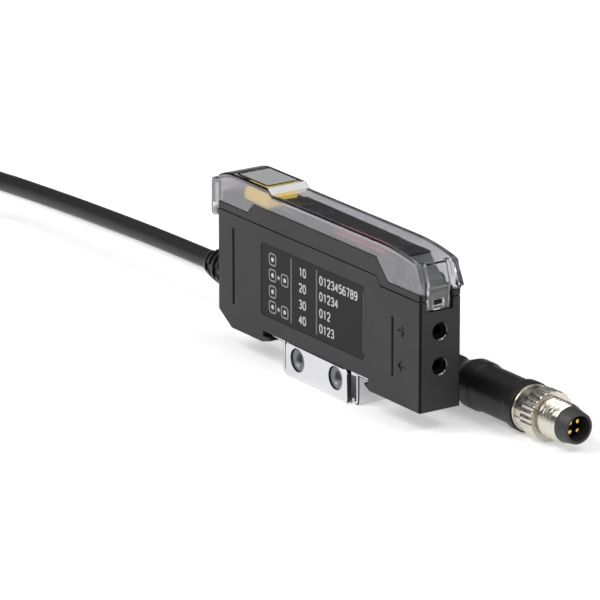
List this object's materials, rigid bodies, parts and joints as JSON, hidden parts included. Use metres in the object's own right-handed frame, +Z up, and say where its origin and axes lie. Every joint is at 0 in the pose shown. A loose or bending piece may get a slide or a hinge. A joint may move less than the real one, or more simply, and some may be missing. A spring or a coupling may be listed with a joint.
{
  "type": "fibre optic sensor amplifier",
  "caption": "Slim housing with a hinged clear cover, stacked fibre sockets, a short rail stub and a pigtail cable that ends in a round screw connector.",
  "frame": {"origin": "centre of the rail stub's underside, on the floor, below the middle of the case", "axes": "+X towards the fibre sockets, the cable leaves at the -X end; +Y across the slim width, away from the side with the legend; +Z up"},
  "size_m": [0.244, 0.0453, 0.0378],
  "materials": {
    "housing_plastic": "fine matt texture",
    "clear_cover": "clear, polished",
    "lamp_plastic": "yellow light guide",
    "window_plastic": "dark red",
    "button_plastic": "matt",
    "led_plastic": "smooth",
    "board": "solder mask",
    "board_parts": "matt",
    "cable_rubber": "satin",
    "copper": "bright",
    "nickel": "nickel plated",
    "gold_brass": "gold flash",
    "bracket_steel": "bright zinc plated sheet",
    "steel": "plain"
  },
  "bodies": {
    "housing": {"case": "housing_plastic", "bezel": "housing_plastic", "hinge_pin": "steel", "status_lamp": "lamp_plastic", "display_window": "window_plastic", "set_switch": "board_parts", "mode_switch": "board_parts", "status_led": "led_plastic", "display_board": "board", "main_digits": "led_plastic", "small_digits": "led_plastic", "board_link": "board_parts", "main_board": "board", "board_chips": "board_parts", "receiver_shield": "steel", "fibre_guide": "housing_plastic", "clamp_pin": "steel", "emitter_led": "led_plastic", "receiver_diode": "led_plastic", "cable_gland": "cable_rubber", "core_wires": "copper", "cable": "cable_rubber", "connector_body": "cable_rubber", "retaining_ring": "nickel", "contact_carrier": "board_parts", "contact_pins": "gold_brass", "din_bracket": "bracket_steel", "clinch_nuts": "steel"},
    "cover": {"cover": "clear_cover"},
    "set_button": {"set_button": "button_plastic"},
    "mode_button": {"mode_button": "button_plastic"},
    "clamp_lever": {"clamp_lever": "button_plastic"},
    "clamp_bar": {"clamp_bar": "steel"},
    "coupling_ring": {"coupling_ring": "nickel"}
  },
  "joints": [
    {"name": "cover_hinge", "type": "hinge", "parent": "housing", "child": "cover", "pos_m": [-0.0372, 0, 0.0286], "axis": [0, -1, 0], "range_deg": [0, 110]},
    {"name": "lever_hinge", "type": "hinge", "parent": "housing", "child": "clamp_lever", "pos_m": [0.03025, 0, 0.0297], "axis": [0, 1, 0], "range_deg": [0, 30]},
    {"name": "bar_slide", "type": "slide", "parent": "housing", "child": "clamp_bar", "axis": [0, 0, -1], "range_m": [0, 0.0004]},
    {"name": "set_press", "type": "slide", "parent": "housing", "child": "set_button", "axis": [0, 0, -1], "range_m": [0, 0.0004], "stiffness_N_per_m": 400},
    {"name": "mode_press", "type": "slide", "parent": "housing", "child": "mode_button", "axis": [0, 0, -1], "range_m": [0, 0.0004], "stiffness_N_per_m": 400},
    {"name": "ring_turn", "type": "hinge", "parent": "housing", "child": "coupling_ring", "pos_m": [0.052, 0.015, 0.00525], "axis": [1, 0, 0], "continuous": true}
  ],
  "couplings": [
    {"joint": "lever_hinge", "follows": "bar_slide", "rad_per_m": 1308}
  ]
}
